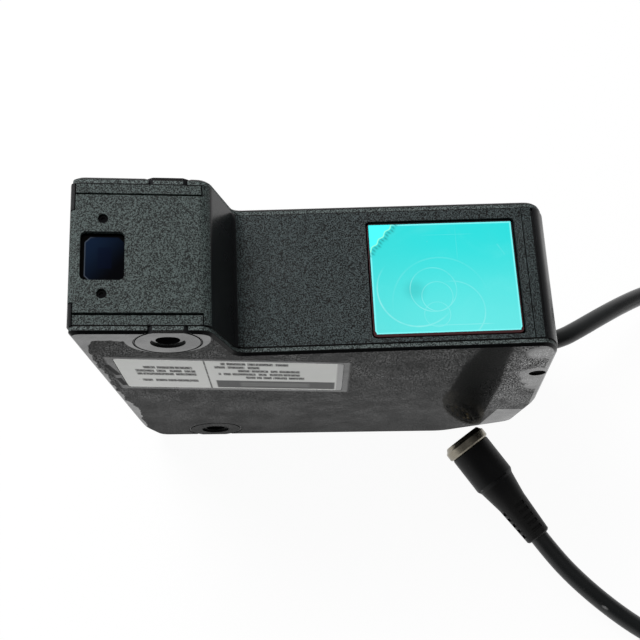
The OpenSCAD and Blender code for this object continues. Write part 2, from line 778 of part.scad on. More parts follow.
// A turned piece along the gland axis, from x0 to x1 measured from the port face
module port_turn(x0, x1, r1, r2) {
    translate([port_x + x0, gland_y, port_z]) rotate([0, 90, 0]) cylinder(h = x1 - x0, r1 = r1, r2 = r2);
}

module port_hex(x0, x1) {
    translate([port_x + x0, gland_y, port_z]) rotate([0, 90, 0])
        cylinder(h = x1 - x0, r = gland_af / sqrt(3), $fn = 6);
}

// Block on the bench plate where the cable's wires end
module cable_terminal() {
    color("#d8d4c4") from_corner() translate([terminal_x, gland_y - cable_r - 1, port_z - terminal_h / 2])
        cube([terminal_w, web_near - gland_y + cable_r + 1, terminal_h]);
}

// Stripped end of the cable, from the terminal through the gland
module cable_tail() {
    tail = port_x - terminal_x - terminal_w;
    color("#151718") from_corner() port_turn(-tail, gland_l, cable_r, cable_r);
}

module gland_body() {
    color("#1a1b1d") from_corner() difference() {
        union() {
            port_hex(0, flange_t);
            port_turn(-wall - gland_in + wall, 0.1, gland_d / 2, gland_d / 2);
        }
        port_turn(-port_x / 2, port_x / 2, gland_bore_r, gland_bore_r);
    }
}

module gland_cap() {
    color("#1a1b1d") from_corner() difference() {
        union() {
            port_turn(flange_t, gland_l - 2, gland_af / 2, gland_af / 2);
            port_turn(gland_l - 2, gland_l, gland_af / 2, cable_r + 1.2);
        }
        port_turn(-port_x / 2, port_x / 2, gland_bore_r, gland_bore_r);
    }
}

module gland_lock_nut() {
    color("#8d8f92") from_corner() difference() {
        port_hex(-wall - nut_t, -wall);
        port_turn(-port_x / 2, port_x / 2, gland_d / 2 + fit, gland_d / 2 + fit);
    }
}

// Cross-section frame of the cable at point i: its direction, a level side and an upper side
function route_dir(i) = let (n = len(cable_points))
    along(cable_points[max(i - 1, 0)], cable_points[min(i + 1, n - 1)]);
function level_side(d) = let (s = [d.y, -d.x, 0]) s / norm(s);

// The free cable, swept along its route
module cable() {
    n = len(cable_points);
    m = cable_sides;
    color("#151718") polyhedron(
        points = [for (i = [0 : n - 1])
            let (d = i == 0 ? [1, 0, 0] : i == n - 1 ? [cos(plug_turn), sin(plug_turn), 0] : route_dir(i),
                 s = level_side(d),
                 u = cross(s, d))
            for (k = [0 : m - 1])
                cable_points[i] + cable_r * (cos(360 * k / m) * s + sin(360 * k / m) * u)],
        faces = concat(
            [[for (k = [0 : m - 1]) k]],
            [for (i = [0 : n - 2]) for (k = [0 : m - 1])
                [i * m + k, (i + 1) * m + k, (i + 1) * m + (k + 1) % m, i * m + (k + 1) % m]],
            [[for (k = [m - 1 : -1 : 0]) (n - 1) * m + k]]));
}

// The connector's frame: z runs from its strain relief end towards its nose
module on_plug() {
    translate(plug_end) rotate([0, 0, plug_turn]) rotate([0, 90, 0]) children();
}

// Metal nose and ring, hollow for the insert
module connector_shell() {
    ring_end = grip_z + ring_l;
    color("#b7ab98") on_plug() rotate_extrude() polygon([
        [socket_r, grip_z], [ring_d / 2 - 0.4, grip_z], [ring_d / 2, grip_z + 0.4],
        [ring_d / 2, ring_end - 0.6], [ring_d / 2 - 0.6, ring_end],
        [ring_d / 2 - 0.9, plug_l - 0.3], [ring_d / 2 - 1.2, plug_l], [socket_r, plug_l]]);
}

// Moulded grip, taper and strain relief in one piece, with four rows of slots
module connector_body() {
    relief_l = grip_z - grip_l - taper_l;
    pitch = relief_l / (slot_n + 1);
    color("#1a1c1d") on_plug() difference() {
        rotate_extrude() polygon([
            [0, 0], [relief_d / 2 - 0.4, 0], [relief_d / 2, 0.4], [relief_top_d / 2, relief_l],
            [grip_d / 2 - 0.6, relief_l + taper_l - 0.6], [grip_d / 2, relief_l + taper_l + 0.6],
            [grip_d / 2, grip_z - 0.3], [grip_d / 2 - 0.3, grip_z], [0, grip_z]]);
        for (turn = [0 : 90 : 270]) rotate(turn) {
            for (i = [1 : slot_n])
                translate([relief_d / 2 - slot_depth + (relief_top_d - relief_d) / 2 * i / (slot_n + 1),
                    -slot_w / 2, pitch * i]) cube([relief_d, slot_w, pitch / 2]);
            translate([grip_d / 2 - slot_depth, -grip_slot_w / 2, relief_l + taper_l])
                cube([grip_d, grip_slot_w, pitch / 4]);
        }
    }
}

module connector_insert() {
    color("#232527") on_plug() translate([0, 0, grip_z])
        cylinder(h = ring_l - socket_depth, r = socket_r - fit);
}

module connector_pins() {
    color("#c9a552") on_plug() for (i = [0 : pin_n - 1]) rotate(360 * i / pin_n)
        translate([socket_r / 2 + pin_r, 0, grip_z + ring_l - socket_depth])
            cylinder(h = socket_depth + nose_l - pin_short, r = pin_r);
}

housing();
label_side_cover();
far_side_cover();
label_sticker();
label_cover_screws();
far_cover_screws();
transmitter_panel();
upper_inlay();
lower_inlay();
receiver_panel();
receiver_end_strip();
panel_screws();
transmitter_window();
transmitter_seal();
receiver_filter();
receiver_seal();
mirror_mount();
fold_mirror();
laser_holder();
collimating_lens();
laser_diode();
lens_cradle();
lens_barrel();
front_lens();
rear_lens();
sensor_bracket();
sensor_board();
image_sensor();
main_board();
processor();
board_screws();
cable_terminal();
cable_tail();
gland_body();
gland_cap();
gland_lock_nut();
cable();
connector_shell();
connector_body();
connector_insert();
connector_pins();
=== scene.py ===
# Laser displacement sensor head with its cable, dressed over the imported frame.
# It stands in the frame of the part's source: on its back face, optics up, with the label side towards -Y
# and the cable at +X. Objects are in metres. Most sizes and places are written in mm, and times MM they
# are metres.

import math

import bmesh
import bpy
from mathutils import Matrix, Vector


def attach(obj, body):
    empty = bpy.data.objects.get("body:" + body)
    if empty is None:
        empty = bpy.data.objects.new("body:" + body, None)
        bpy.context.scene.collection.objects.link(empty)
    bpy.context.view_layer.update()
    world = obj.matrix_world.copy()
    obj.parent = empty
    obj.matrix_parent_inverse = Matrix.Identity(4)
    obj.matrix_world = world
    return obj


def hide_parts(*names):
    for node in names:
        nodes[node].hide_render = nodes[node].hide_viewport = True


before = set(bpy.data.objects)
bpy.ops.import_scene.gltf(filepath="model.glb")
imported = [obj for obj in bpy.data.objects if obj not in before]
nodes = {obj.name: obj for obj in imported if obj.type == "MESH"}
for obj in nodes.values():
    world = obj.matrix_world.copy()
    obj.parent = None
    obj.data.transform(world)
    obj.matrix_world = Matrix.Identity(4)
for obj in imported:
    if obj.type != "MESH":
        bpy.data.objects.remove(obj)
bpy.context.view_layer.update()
scene = bpy.context.scene
scene.view_settings.view_transform = "Standard"
MM = 0.001


# Camera
# The photograph looks down on the two optical faces, a little from the left and from the label side,
# through a lens of about 60 mm on a full frame.
lens_right = Vector((0.9894, -0.0466, 0.1373))
lens_up = Vector((-0.0014, 0.9438, 0.3304))
lens_back = lens_right.cross(lens_up)
camera_data = bpy.data.cameras.new("camera")
camera_data.lens = 59.57
camera_data.sensor_width = 36
camera_data.clip_start = 0.005
camera = bpy.data.objects.new("camera", camera_data)
camera.matrix_world = Matrix.LocRotScale(
    Vector((-0.04426, -0.08903, 0.30404)),
    Matrix((lens_right, lens_up, lens_back)).transposed(),
    None,
)
scene.collection.objects.link(camera)
scene.camera = camera


# Cable
# A round black jacket leaves the gland, sags to the table, lies there in one loop and comes back to
# the connector. It is soft moulded rubber with a dull skin that holds fine dust.
CABLE_D = 5.4 * MM
CABLE_ROUTE = [
    (64.8, 2.5, 23), (70, 3.7, 22.8), (76, 6.8, 21.9), (85, 12, 19.4), (94, 17, 16.2),
    (104, 22, 12), (115, 26, 7.6), (127, 27.8, 4.2), (140, 26.4, 2.9), (152.5, 21.4, 2.8),
    (163.5, 13.4, 2.8), (172.5, 3, 2.8), (179, -9, 2.8), (182.5, -22.5, 2.8), (183, -36.5, 2.8),
    (180, -50, 2.8), (174, -62.5, 2.8), (165, -73.4, 2.8), (154, -81.8, 2.8), (141, -87.2, 2.8),
    (127.5, -89.2, 2.8), (114, -87.6, 2.9), (101, -83.3, 3.5), (89.5, -77, 4.6), (80, -70, 5.6),
    (72.5, -63.3, 6.3), (66.7, -56.8, 6.6), (62.6, -50.9, 6.6),
]
PALE_PATCH_PLACE = (79.4, -71.6, 8)
PALE_PATCH_SIZE = (1.5, 0.5, 1.2)
PALE_PATCH_TURN = math.radians(-36)


def feed(tree, entry, value):
    """Links a socket to a node's entry, or sets the entry to a value."""
    if isinstance(value, bpy.types.NodeSocket):
        tree.links.new(value, entry)
    else:
        entry.default_value = value


def put(tree, kind, inputs=None, **settings):
    """A shader node with its settings and inputs."""
    made = tree.nodes.new("ShaderNode" + kind)
    for name, value in settings.items():
        setattr(made, name, value)
    for name, value in (inputs or {}).items():
        feed(tree, made.inputs[name], value)
    return made


def piece_place(tree):
    """Where a point lies on the piece, in metres."""
    return put(tree, "TexCoord").outputs["Object"]


def reckon(tree, operation, first, second=0.0, third=0.0):
    """A sum, product or other number worked out from sockets and values."""
    return put(tree, "Math", {0: first, 1: second, 2: third}, operation=operation).outputs[0]


def ease(tree, value, low, high, at_low=0.0, at_high=1.0):
    """A soft step from at_low to at_high while the value goes from low to high."""
    inputs = {0: value, 1: low, 2: high, 3: at_low, 4: at_high}
    return put(tree, "MapRange", inputs, interpolation_type="SMOOTHSTEP").outputs[0]


def tint(tree, mask, under, over):
    """One colour over another where the mask is 1."""
    return put(tree, "Mix", {0: mask, 6: under, 7: over}, data_type="RGBA").outputs[2]


def start_group(name, inputs, outputs):
    """An empty shader group with named numbers in and out."""
    tree = bpy.data.node_groups.new(name, "ShaderNodeTree")
    for label, value in inputs.items():
        made = tree.interface.new_socket(label, in_out="INPUT", socket_type="NodeSocketFloat")
        made.default_value = value
    for label in outputs:
        tree.interface.new_socket(label, in_out="OUTPUT", socket_type="NodeSocketFloat")
    return tree, tree.nodes.new("NodeGroupInput").outputs, tree.nodes.new("NodeGroupOutput").inputs


def use_group(tree, group, inputs):
    """A shared group placed in a material with its own values."""
    return put(tree, "Group", inputs, node_tree=group).outputs


def grey(value):
    """A colour without hue."""
    return (value, value, value, 1)


def shade(colour, share):
    """A colour made darker or lighter."""
    return (*(share * c for c in colour), 1)


def emboss(tree, height, depth):
    """Small relief on a surface, its depth in mm."""
    return put(tree, "Bump", {"Height": height, "Distance": depth * MM, "Strength": 1.0}).outputs[0]


# Small raised grains with softer lumps between them, and a broad cloud for uneven sheen
grain_group, given, made = start_group("grain", {"Size": 0.6}, ["Height", "Fleck", "Cloud"])
where = piece_place(grain_group)
per_metre = reckon(grain_group, "DIVIDE", 1 / MM, given["Size"])
cells = put(
    grain_group, "TexVoronoi", {"Vector": where, "Scale": per_metre, "Smoothness": 0.4}, feature="SMOOTH_F1"
)
lumps = put(grain_group, "TexNoise", {"Vector": where, "Scale": per_metre, "Detail": 3.0})
cloud = put(grain_group, "TexNoise", {"Vector": where, "Scale": 45.0, "Detail": 4.0})
grain_height = reckon(grain_group, "MULTIPLY_ADD", cells.outputs["Distance"], -0.7, lumps.outputs[0])
grain_group.links.new(grain_height, made["Height"])
cell_tone = put(grain_group, "SeparateColor", {0: cells.outputs["Color"]}).outputs[0]
dashes = put(grain_group, "TexNoise", {"Vector": where, "Scale": per_metre, "Detail": 0.0}).outputs[0]
tone = reckon(grain_group, "MULTIPLY_ADD", cell_tone, 0.2, reckon(grain_group, "MULTIPLY", dashes, 0.8))
grain_group.links.new(ease(grain_group, tone, 0.32, 0.72), made["Fleck"])
grain_group.links.new(ease(grain_group, cloud.outputs[0], 0.35, 0.65), made["Cloud"])

# Specks of dust and lint, thicker in some patches than in others
dust_group, given, made = start_group("dust", {"Amount": 0.5}, ["Mask"])
where = piece_place(dust_group)
specks = put(dust_group, "TexVoronoi", {"Vector": where, "Scale": 420.0})
patches = put(dust_group, "TexNoise", {"Vector": where, "Scale": 60.0, "Detail": 5.0})
pick = put(dust_group, "SeparateColor", {0: specks.outputs["Color"]}).outputs[0]
reach = reckon(dust_group, "MULTIPLY", ease(dust_group, pick, 0.55, 1.0), 0.16)
speck = ease(dust_group, reckon(dust_group, "SUBTRACT", reach, specks.outputs["Distance"]), 0.0, 0.05)
haze = ease(dust_group, patches.outputs[0], 0.5, 0.8, 0.0, 0.35)
both = reckon(dust_group, "MAXIMUM", speck, haze)
dust_group.links.new(reckon(dust_group, "MULTIPLY", both, given["Amount"]), made["Mask"])


def new_material(name):
    """An empty material with its node tree and its shader."""
    made = bpy.data.materials.new(name)
    made.use_nodes = True
    return made, made.node_tree, made.node_tree.nodes["Principled BSDF"]


def wire(tree, shader, **entries):
    """Feeds the shader's entries, named as they are but with low lines for spaces."""
    for name, value in entries.items():
        feed(tree, shader.inputs[name.replace("_", " ").title()], value)


def moulding(name, colour, roughness, grain_size=0.35, grain_depth=0.01, dust=0.12, gloss=0.25, pale=None):
    """Dull moulded rubber or plastic: a fine skin, a little uneven sheen, some dust and a paler place."""
    made, tree, shader = new_material(name)
    shader.inputs["Specular IOR Level"].default_value = gloss
    skin = use_group(tree, grain_group, {"Size": grain_size})
    lint = use_group(tree, dust_group, {"Amount": dust})["Mask"]
    dark = tint(tree, skin["Cloud"], shade(colour, 0.8), shade(colour, 1.2))
    if pale:
        place, level = pale
        dark = tint(tree, place(tree), dark, grey(level))
    wire(tree, shader, base_color=tint(tree, lint, dark, grey(0.1)),
         roughness=ease(tree, skin["Cloud"], 0, 1, roughness - 0.06, roughness + 0.06),
         normal=emboss(tree, skin["Height"], grain_depth))
    return made


def cable_pale_patch(tree):
    """A small pale patch on top of the cable, near the connector."""
    place = put(
        tree, "Mapping",
        {
            "Vector": piece_place(tree), "Location": Vector(PALE_PATCH_PLACE) * MM,
            "Rotation": (0, 0, PALE_PATCH_TURN), "Scale": Vector(PALE_PATCH_SIZE) * MM,
        },
        vector_type="TEXTURE",
    ).outputs[0]
    off = put(tree, "VectorMath", {0: place}, operation="LENGTH").outputs["Value"]
    return ease(tree, off, 0.4, 1.0, 0.8, 0.0)


cable_curve = bpy.data.curves.new("cable_jacket", "CURVE")
cable_curve.dimensions = "3D"
cable_curve.bevel_depth = CABLE_D / 2
cable_curve.bevel_resolution = 6
cable_curve.resolution_u = 8
cable_curve.use_fill_caps = True
spline = cable_curve.splines.new("NURBS")
spline.points.add(len(CABLE_ROUTE) - 1)
spline.order_u = 3
spline.use_endpoint_u = True
for knot, place in zip(spline.points, CABLE_ROUTE):
    knot.co = (*(Vector(place) * MM), 1)
cable = bpy.data.objects.new("cable_jacket", cable_curve)
scene.collection.objects.link(cable)
jacket = moulding(
    "cable_jacket", (0.0062, 0.0075, 0.008), roughness=0.32, gloss=0.45, pale=(cable_pale_patch, 0.3)
)
cable_curve.materials.append(jacket)
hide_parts("cable")
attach(cable, "root")


# Connector
# A nickel-plated coupling ring is pressed on a black moulded grip, which tapers into a strain relief
# with cut grooves. Gold-plated pins stand in a dark insert inside the ring.
PLUG_TURN = math.radians(124.7)
TAPER_START = 12
TAPER_END = 22


def lay_on(mesh, *finishes):
    """Puts finishes on a mesh, in the order of their numbers."""
    mesh.materials.clear()
    for finish in finishes:
        mesh.materials.append(finish)


def dress(node, finish):
    """Gives a CAD node its finish."""
    lay_on(nodes[node].data, finish)


def metal(name, colour, roughness, grain_size=0.8, scuff=0.12):
    """Bare or plated metal with a faint uneven polish."""
    made, tree, shader = new_material(name)
    skin = use_group(tree, grain_group, {"Size": grain_size})
    worn = tint(tree, skin["Cloud"], shade(colour, 1), shade(colour, 0.75))
    wire(tree, shader, base_color=worn, metallic=1.0,
         roughness=ease(tree, skin["Fleck"], 0, 1, roughness, roughness + scuff),
         normal=emboss(tree, skin["Height"], 0.004))
    return made


def relief_painted_sheen(tree):
    """Painted sheen on the taper and the strain relief, by their distance from the cable's end."""
    place = put(tree, "SeparateXYZ", {0: piece_place(tree)}).outputs
    ahead = Vector((math.cos(PLUG_TURN), math.sin(PLUG_TURN))) / MM
    start = ahead.dot(Vector(CABLE_ROUTE[-1][:2]) * MM)
    reach = reckon(tree, "MULTIPLY_ADD", place[0], ahead.x, -start)
    reach = reckon(tree, "MULTIPLY_ADD", place[1], ahead.y, reach)
    return ease(tree, reach, TAPER_START, TAPER_END, 1.0, 0.0)


nickel = metal("nickel", (0.34, 0.31, 0.25), roughness=0.26)
gilt = metal("gilt", (0.75, 0.55, 0.2), roughness=0.25)
# The grip is painted paler over the taper and strain relief, as a painted sheen
mould = moulding(
    "moulded_grip", (0.005, 0.0054, 0.006), roughness=0.4, grain_size=0.5, grain_depth=0.02, gloss=0.2,
    pale=(relief_painted_sheen, 0.014),
)
chip_black = moulding("chip_package", (0.018, 0.02, 0.024), roughness=0.55, grain_size=0.2)
dress("connector_shell", nickel)
dress("connector_body", mould)
dress("connector_insert", chip_black)
dress("connector_pins", gilt)


# Gland
# A black nylon gland screws through the right end of the casting and clamps the cable. A nickel nut
# holds it from inside, where the stripped tail ends in an ivory terminal block.
nylon = moulding("gland_nylon", (0.009, 0.01, 0.011), roughness=0.45)
ivory = moulding("terminal_nylon", (0.62, 0.59, 0.5), roughness=0.5)
dress("gland_body", nylon)
dress("gland_cap", nylon)
dress("gland_lock_nut", nickel)
dress("cable_tail", jacket)
dress("cable_terminal", ivory)


# Casting
# The housing is one aluminium casting under a smooth black coat. Its corners are rounded, and the
# coat is rubbed thin along them. The fronts of its bosses have the panels' grained coat.
RIM_Y = 16.3 * MM
RIM_WIDTH = 0.9 * MM
BOSS_Y = 16.4 * MM
BOSS_FRONT_Z = 90 * MM
UPWARD = 0.9


def rounded(node, width, segments=3, from_angle=24):
    """A copy of a CAD node with its sharp edges rounded, which stands for the node."""
    mesh = nodes[node].data.copy()
    mesh.name = node + "_skin"
    shape = bmesh.new()
    shape.from_mesh(mesh)
    bmesh.ops.remove_doubles(shape, verts=shape.verts, dist=0.002 * MM)
    bmesh.ops.dissolve_limit(shape, angle_limit=math.radians(0.5), verts=shape.verts, edges=shape.edges)
    sharp = [e for e in shape.edges if e.is_manifold and e.calc_face_angle(0) > math.radians(from_angle)]
    made = bmesh.ops.bevel(
        shape, geom=sharp, offset=width * MM, offset_type="OFFSET", segments=segments, profile=0.5,
        affect="EDGES", clamp_overlap=True, material=-1,
    )
    rub = shape.loops.layers.float.new("rub")
    for face in made["faces"]:
        for corner in face.loops:
            corner[rub] = 1.0
    for face in shape.faces:
        face.smooth = True
    shape.to_mesh(mesh)
    shape.free()
    piece = bpy.data.objects.new(node + "_skin", mesh)
    scene.collection.objects.link(piece)
    level = piece.modifiers.new("flat faces", "WEIGHTED_NORMAL")
    level.keep_sharp = True
    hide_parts(node)
    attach(piece, "root")
    return piece


# Bare metal or thin coat along the rounded edges, broken up by wear
rub_group, given, made = start_group("rubbed_edge", {"Edge": 0.0, "Amount": 0.5}, ["Mask"])
where = piece_place(rub_group)
chips = put(rub_group, "TexNoise", {"Vector": where, "Scale": 260.0, "Detail": 6.0, "Roughness": 0.65})
thin = ease(rub_group, chips.outputs[0], 0.45, 0.7)
rubbed = reckon(rub_group, "MULTIPLY", given["Edge"], thin)
rub_group.links.new(reckon(rub_group, "MULTIPLY", rubbed, given["Amount"]), made["Mask"])


def coat(name, colour, roughness, grain_size, grain_depth, fleck=0.0, dust=0.12, rub=0.4, gloss=0.3,
         seam=0.0):
    """Baked coat on metal: grain or orange peel, lighter flecks, dust, wear along the edges, and a dark
    line where the panels meet the covers."""
    made, tree, shader = new_material(name)
    shader.inputs["Specular IOR Level"].default_value = gloss
    skin = use_group(tree, grain_group, {"Size": grain_size})
    lint = use_group(tree, dust_group, {"Amount": dust})["Mask"]
    edge = put(tree, "Attribute", attribute_name="rub").outputs["Fac"]
    worn = use_group(tree, rub_group, {"Edge": edge, "Amount": rub})["Mask"]
    paint = tint(tree, skin["Fleck"], shade(colour, 1 - fleck), shade(colour, 1 + fleck))
    paint = tint(tree, lint, paint, grey(0.14))
    paint = tint(tree, worn, paint, grey(0.25))
    if seam:
        across = put(tree, "SeparateXYZ", {0: piece_place(tree)}).outputs[1]
        gap = reckon(tree, "SUBTRACT", reckon(tree, "ABSOLUTE", across), RIM_Y)
        near = ease(tree, reckon(tree, "ABSOLUTE", gap), seam * MM, (seam + 0.08) * MM, 1.0, 0.0)
        near = reckon(tree, "MAXIMUM", near, ease(tree, gap, RIM_WIDTH, RIM_WIDTH + 0.15 * MM))
        paint = tint(tree, near, paint, grey(0.002))
    wire(tree, shader, base_color=paint,
         roughness=ease(tree, skin["Cloud"], 0, 1, roughness - 0.05, roughness + 0.05),
         normal=emboss(tree, skin["Height"], grain_depth))
    return made


GRAINED = {"roughness": 0.5, "grain_size": 0.27, "grain_depth": 0.1, "rub": 0.2, "seam": 0.12}
cast_coat = coat(
    "cast_coat", (0.013, 0.0136, 0.0148), roughness=0.25, grain_size=0.9, grain_depth=0.004, gloss=0.1
)
rim_coat = coat("rim_coat", (0.081, 0.0995, 0.0975), fleck=0.85, gloss=0.15, **GRAINED)
housing = rounded("housing", width=0.25)
lay_on(housing.data, cast_coat, rim_coat)
for patch in housing.data.polygons:
    front = patch.normal.z > UPWARD and patch.center.z > BOSS_FRONT_Z
    patch.material_index = 1 if front and abs(patch.center.y) > BOSS_Y else 0


# Side covers
# Pressed covers close both big faces. Each has a finely grained field, smooth glossier borders and pads
# round the bosses and screws, painted paler as part of their reflection, a polished bevel, and a grained
# rim that shows between the faces.
LEFT_CORNER = 64.798
COVER_Y = 17 * MM
FACE_ON = 0.97
SLOPED = 0.3
# In mm along and up the face: an edge is a point and the way inwards, a pad is a middle and a radius
LEFT_EDGE = ((0, 93), (83, 14.6))
RIGHT_EDGE = ((111.3, 79.6), (-45.6, -9.7))
HEEL_CORNER = (112.5, 26)
FRONT_CORNER = (13, 87.6)
BOSS_PAD = ((21.1, 88.3), 9.2)
SCREW_GROOVE_SHADE = ((107.6, 78.6), 3.7)
END_PADS = [((112.2, 61.7), 5), ((114, 56), 4.4), ((115.6, 50), 3.2), ((108.4, 79), 5)]
SLOT_SHADES = [((7.4, 70.3), (9.9, 62.2)), ((9.8, 59.7), (11.2, 53.6))]
LABEL_CORNER = (9, 75)
# Shares of the label's width and height for each mm along and up
LABEL_RIGHTWARD = (0.019106, 0.0025194)
LABEL_DOWNWARD = (-0.004199, -0.04451)


def spot(tree):
    """Where a point lies, in mm: along from the left corner, across the thickness, up from the back."""
    place = put(tree, "SeparateXYZ", {0: piece_place(tree)}).outputs
    along = reckon(tree, "MULTIPLY_ADD", place[0], 1 / MM, LEFT_CORNER)
    return along, reckon(tree, "MULTIPLY", place[1], 1 / MM), reckon(tree, "MULTIPLY", place[2], 1 / MM)


def off_line(tree, u, v, at, normal):
    """Distance from the line through a point, positive on the side of its normal."""
    square = Vector(normal).normalized()
    part = reckon(tree, "MULTIPLY_ADD", u, square.x, -square.dot(Vector(at)))
    return reckon(tree, "MULTIPLY_ADD", v, square.y, part)


def off_point(tree, u, v, at):
    """Distance from a point."""
    du = reckon(tree, "SUBTRACT", u, at[0])
    dv = reckon(tree, "SUBTRACT", v, at[1])
    return reckon(tree, "SQRT", reckon(tree, "MULTIPLY_ADD", du, du, reckon(tree, "MULTIPLY", dv, dv)))


def off_disc(tree, u, v, at, radius):
    """Distance from the edge of a disc, negative inside it."""
    return reckon(tree, "SUBTRACT", off_point(tree, u, v, at), radius)


def nearest(tree, distances):
    """The least of several distances."""
    least = distances[0]
    for other in distances[1:]:
        least = reckon(tree, "MINIMUM", least, other)
    return least


def within(tree, value, low, high, soft):
    """1 between two limits, with soft ends."""
    rise = ease(tree, value, low - soft, low + soft)
    return reckon(tree, "MULTIPLY", rise, ease(tree, value, high - soft, high + soft, 1.0, 0.0))


def oblong(tree, u, v, u_range, v_range):
    """1 inside an oblong. Each range is two limits and how soft they are."""
    return reckon(tree, "MULTIPLY", within(tree, u, *u_range), within(tree, v, *v_range))


def slot_mark(tree, u, v, start, end, half):
    """1 inside a straight slot between two points."""
    run = Vector(end) - Vector(start)
    lengthwise = off_line(tree, u, v, start, run)
    sideways = off_line(tree, u, v, start, (run.y, -run.x))
    return oblong(tree, lengthwise, sideways, (0, run.length, 0.25), (-half, half, 0.2))


def label_spot(tree, along, up):
    """Shares of the label's width and height, from its upper left corner."""
    du = reckon(tree, "SUBTRACT", along, LABEL_CORNER[0])
    dv = reckon(tree, "SUBTRACT", up, LABEL_CORNER[1])
    shares = []
    for per_along, per_up in (LABEL_RIGHTWARD, LABEL_DOWNWARD):
        shares.append(reckon(tree, "MULTIPLY_ADD", du, per_along, reckon(tree, "MULTIPLY", dv, per_up)))
    return shares


# Specks of the grain shine a little, and more so at the right end. Pads round the front boss, the screw
# and the corners are smooth, and the smooth left edge runs out in ragged patches; their paler colour is
# partly a painted reflection. Painted shade of two slots and of an arced groove by the screw, end pads and
# the label's border are on the label side alone. The ends of the bosses, flush with the covers, match them.
cover_face, tree, shader = new_material("cover_face")
shader.inputs["Specular IOR Level"].default_value = 0.01
shader.inputs["Coat Roughness"].default_value = 0.07
shader.inputs["Coat IOR"].default_value = 1.7
along, across, up = spot(tree)
label_side = ease(tree, across, -1, 1, 1.0, 0.0)
where = piece_place(tree)
skin = use_group(tree, grain_group, {"Size": 0.4})
lint = use_group(tree, dust_group, {"Amount": 0.1})["Mask"]
edge = put(tree, "Attribute", attribute_name="rub").outputs["Fac"]
worn = use_group(tree, rub_group, {"Edge": edge, "Amount": 0.4})["Mask"]
ragged = put(tree, "TexNoise", {"Vector": where, "Scale": 300.0, "Detail": 4.0}).outputs[0]
strip_w = reckon(tree, "ADD", ease(tree, up, 80, 90, 0.2, 3.4), within(tree, up, 22, 37, 3))
strip_w = reckon(tree, "MULTIPLY_ADD", ragged, 3.0, strip_w)
left_strip = reckon(tree, "SUBTRACT", off_line(tree, along, up, *LEFT_EDGE), strip_w)
right_strip = reckon(tree, "SUBTRACT", off_line(tree, along, up, *RIGHT_EDGE), 1.7)
heel_end = reckon(tree, "SUBTRACT", HEEL_CORNER[0], along)
heel = reckon(tree, "MAXIMUM", heel_end, reckon(tree, "SUBTRACT", up, HEEL_CORNER[1]))
boss_pad = off_disc(tree, along, up, *BOSS_PAD)
front_end = reckon(tree, "SUBTRACT", along, FRONT_CORNER[0])
front_pad = reckon(tree, "MAXIMUM", reckon(tree, "SUBTRACT", FRONT_CORNER[1], up), front_end)
front_pad = reckon(tree, "MULTIPLY_ADD", ragged, -3.0, reckon(tree, "ADD", front_pad, 1.5))
pads = nearest(tree, [left_strip, right_strip, boss_pad, heel, front_pad])
smooth = ease(tree, pads, -0.15, 0.15, 1.0, 0.0)
end_pads = nearest(tree, [off_disc(tree, along, up, *pad) for pad in END_PADS])
uneven = reckon(tree, "MULTIPLY_ADD", ragged, 1.6, reckon(tree, "SUBTRACT", end_pads, 0.8))
uneven = reckon(tree, "MULTIPLY", ease(tree, uneven, -0.6, 0.4, 0.9, 0.0), label_side)
smooth = reckon(tree, "MAXIMUM", smooth, uneven)
u, v = label_spot(tree, along, up)
border = reckon(tree, "MULTIPLY", oblong(tree, u, v, (-0.035, 1.03, 0.008), (-0.05, 1.07, 0.02)), label_side)
smooth = reckon(tree, "MAXIMUM", smooth, reckon(tree, "MULTIPLY", border, 0.6))
# Painted shade of an arced groove by the screw and of two slots, darkening the face on the label side
arc = reckon(tree, "ABSOLUTE", off_disc(tree, along, up, *SCREW_GROOVE_SHADE))
dark = ease(tree, arc, 0.15, 0.5, 0.25, 0.0)
for start, end in SLOT_SHADES:
    slot = slot_mark(tree, along, up, start, end, 0.65)
    dark = reckon(tree, "MAXIMUM", dark, reckon(tree, "MULTIPLY", slot, 0.9))
dark = reckon(tree, "MULTIPLY", dark, label_side)
cloud = put(tree, "TexNoise", {"Vector": where, "Scale": 110.0, "Detail": 6.0, "Roughness": 0.6}).outputs[0]
streaked = put(tree, "Mapping", {"Vector": where, "Scale": (3400, 3400, 1400)}).outputs[0]
specks = put(tree, "TexNoise", {"Vector": streaked, "Scale": 1.0, "Detail": 2.0}).outputs[0]
speck_strength = ease(tree, up, 8, 72, 0.14, 0.34)
shine = reckon(tree, "MULTIPLY", ease(tree, specks, 0.36, 0.68, -0.5, 0.5), speck_strength)
shine = reckon(tree, "ADD", shine, 0.14)
shine = reckon(tree, "MULTIPLY", shine, ease(tree, cloud, 0.35, 0.65, 0.62, 1.35))
shine = reckon(tree, "MULTIPLY", shine, ease(tree, up, 0, 32, 0.45, 1.0))
gleam = reckon(tree, "MULTIPLY", ease(tree, along, 97, 109, 0.0, 3.0), ease(tree, up, 30, 68, 0.4, 1.0))
shine = reckon(tree, "MULTIPLY_ADD", shine, gleam, shine)
polish = ease(tree, cloud, 0.35, 0.62, 0.75, 1.0)
shine = reckon(tree, "MAXIMUM", shine, reckon(tree, "MULTIPLY", smooth, polish))
shine = reckon(tree, "MULTIPLY", shine, reckon(tree, "SUBTRACT", 1.0, dark))
field = tint(tree, skin["Fleck"], (0.006, 0.0066, 0.0064, 1), (0.018, 0.0195, 0.019, 1))
# The smooth pads are glossier, and their paler colour is partly a painted reflection
face = tint(tree, smooth, field, (0.036, 0.039, 0.038, 1))
face = tint(tree, dark, face, grey(0.004))
face = tint(tree, lint, face, grey(0.14))
grained = reckon(tree, "MULTIPLY", skin["Height"], ease(tree, smooth, 0, 1, 1.0, 0.08))
wire(tree, shader, base_color=tint(tree, worn, face, grey(0.25)), roughness=0.4, coat_weight=shine,
     normal=emboss(tree, grained, 0.03))

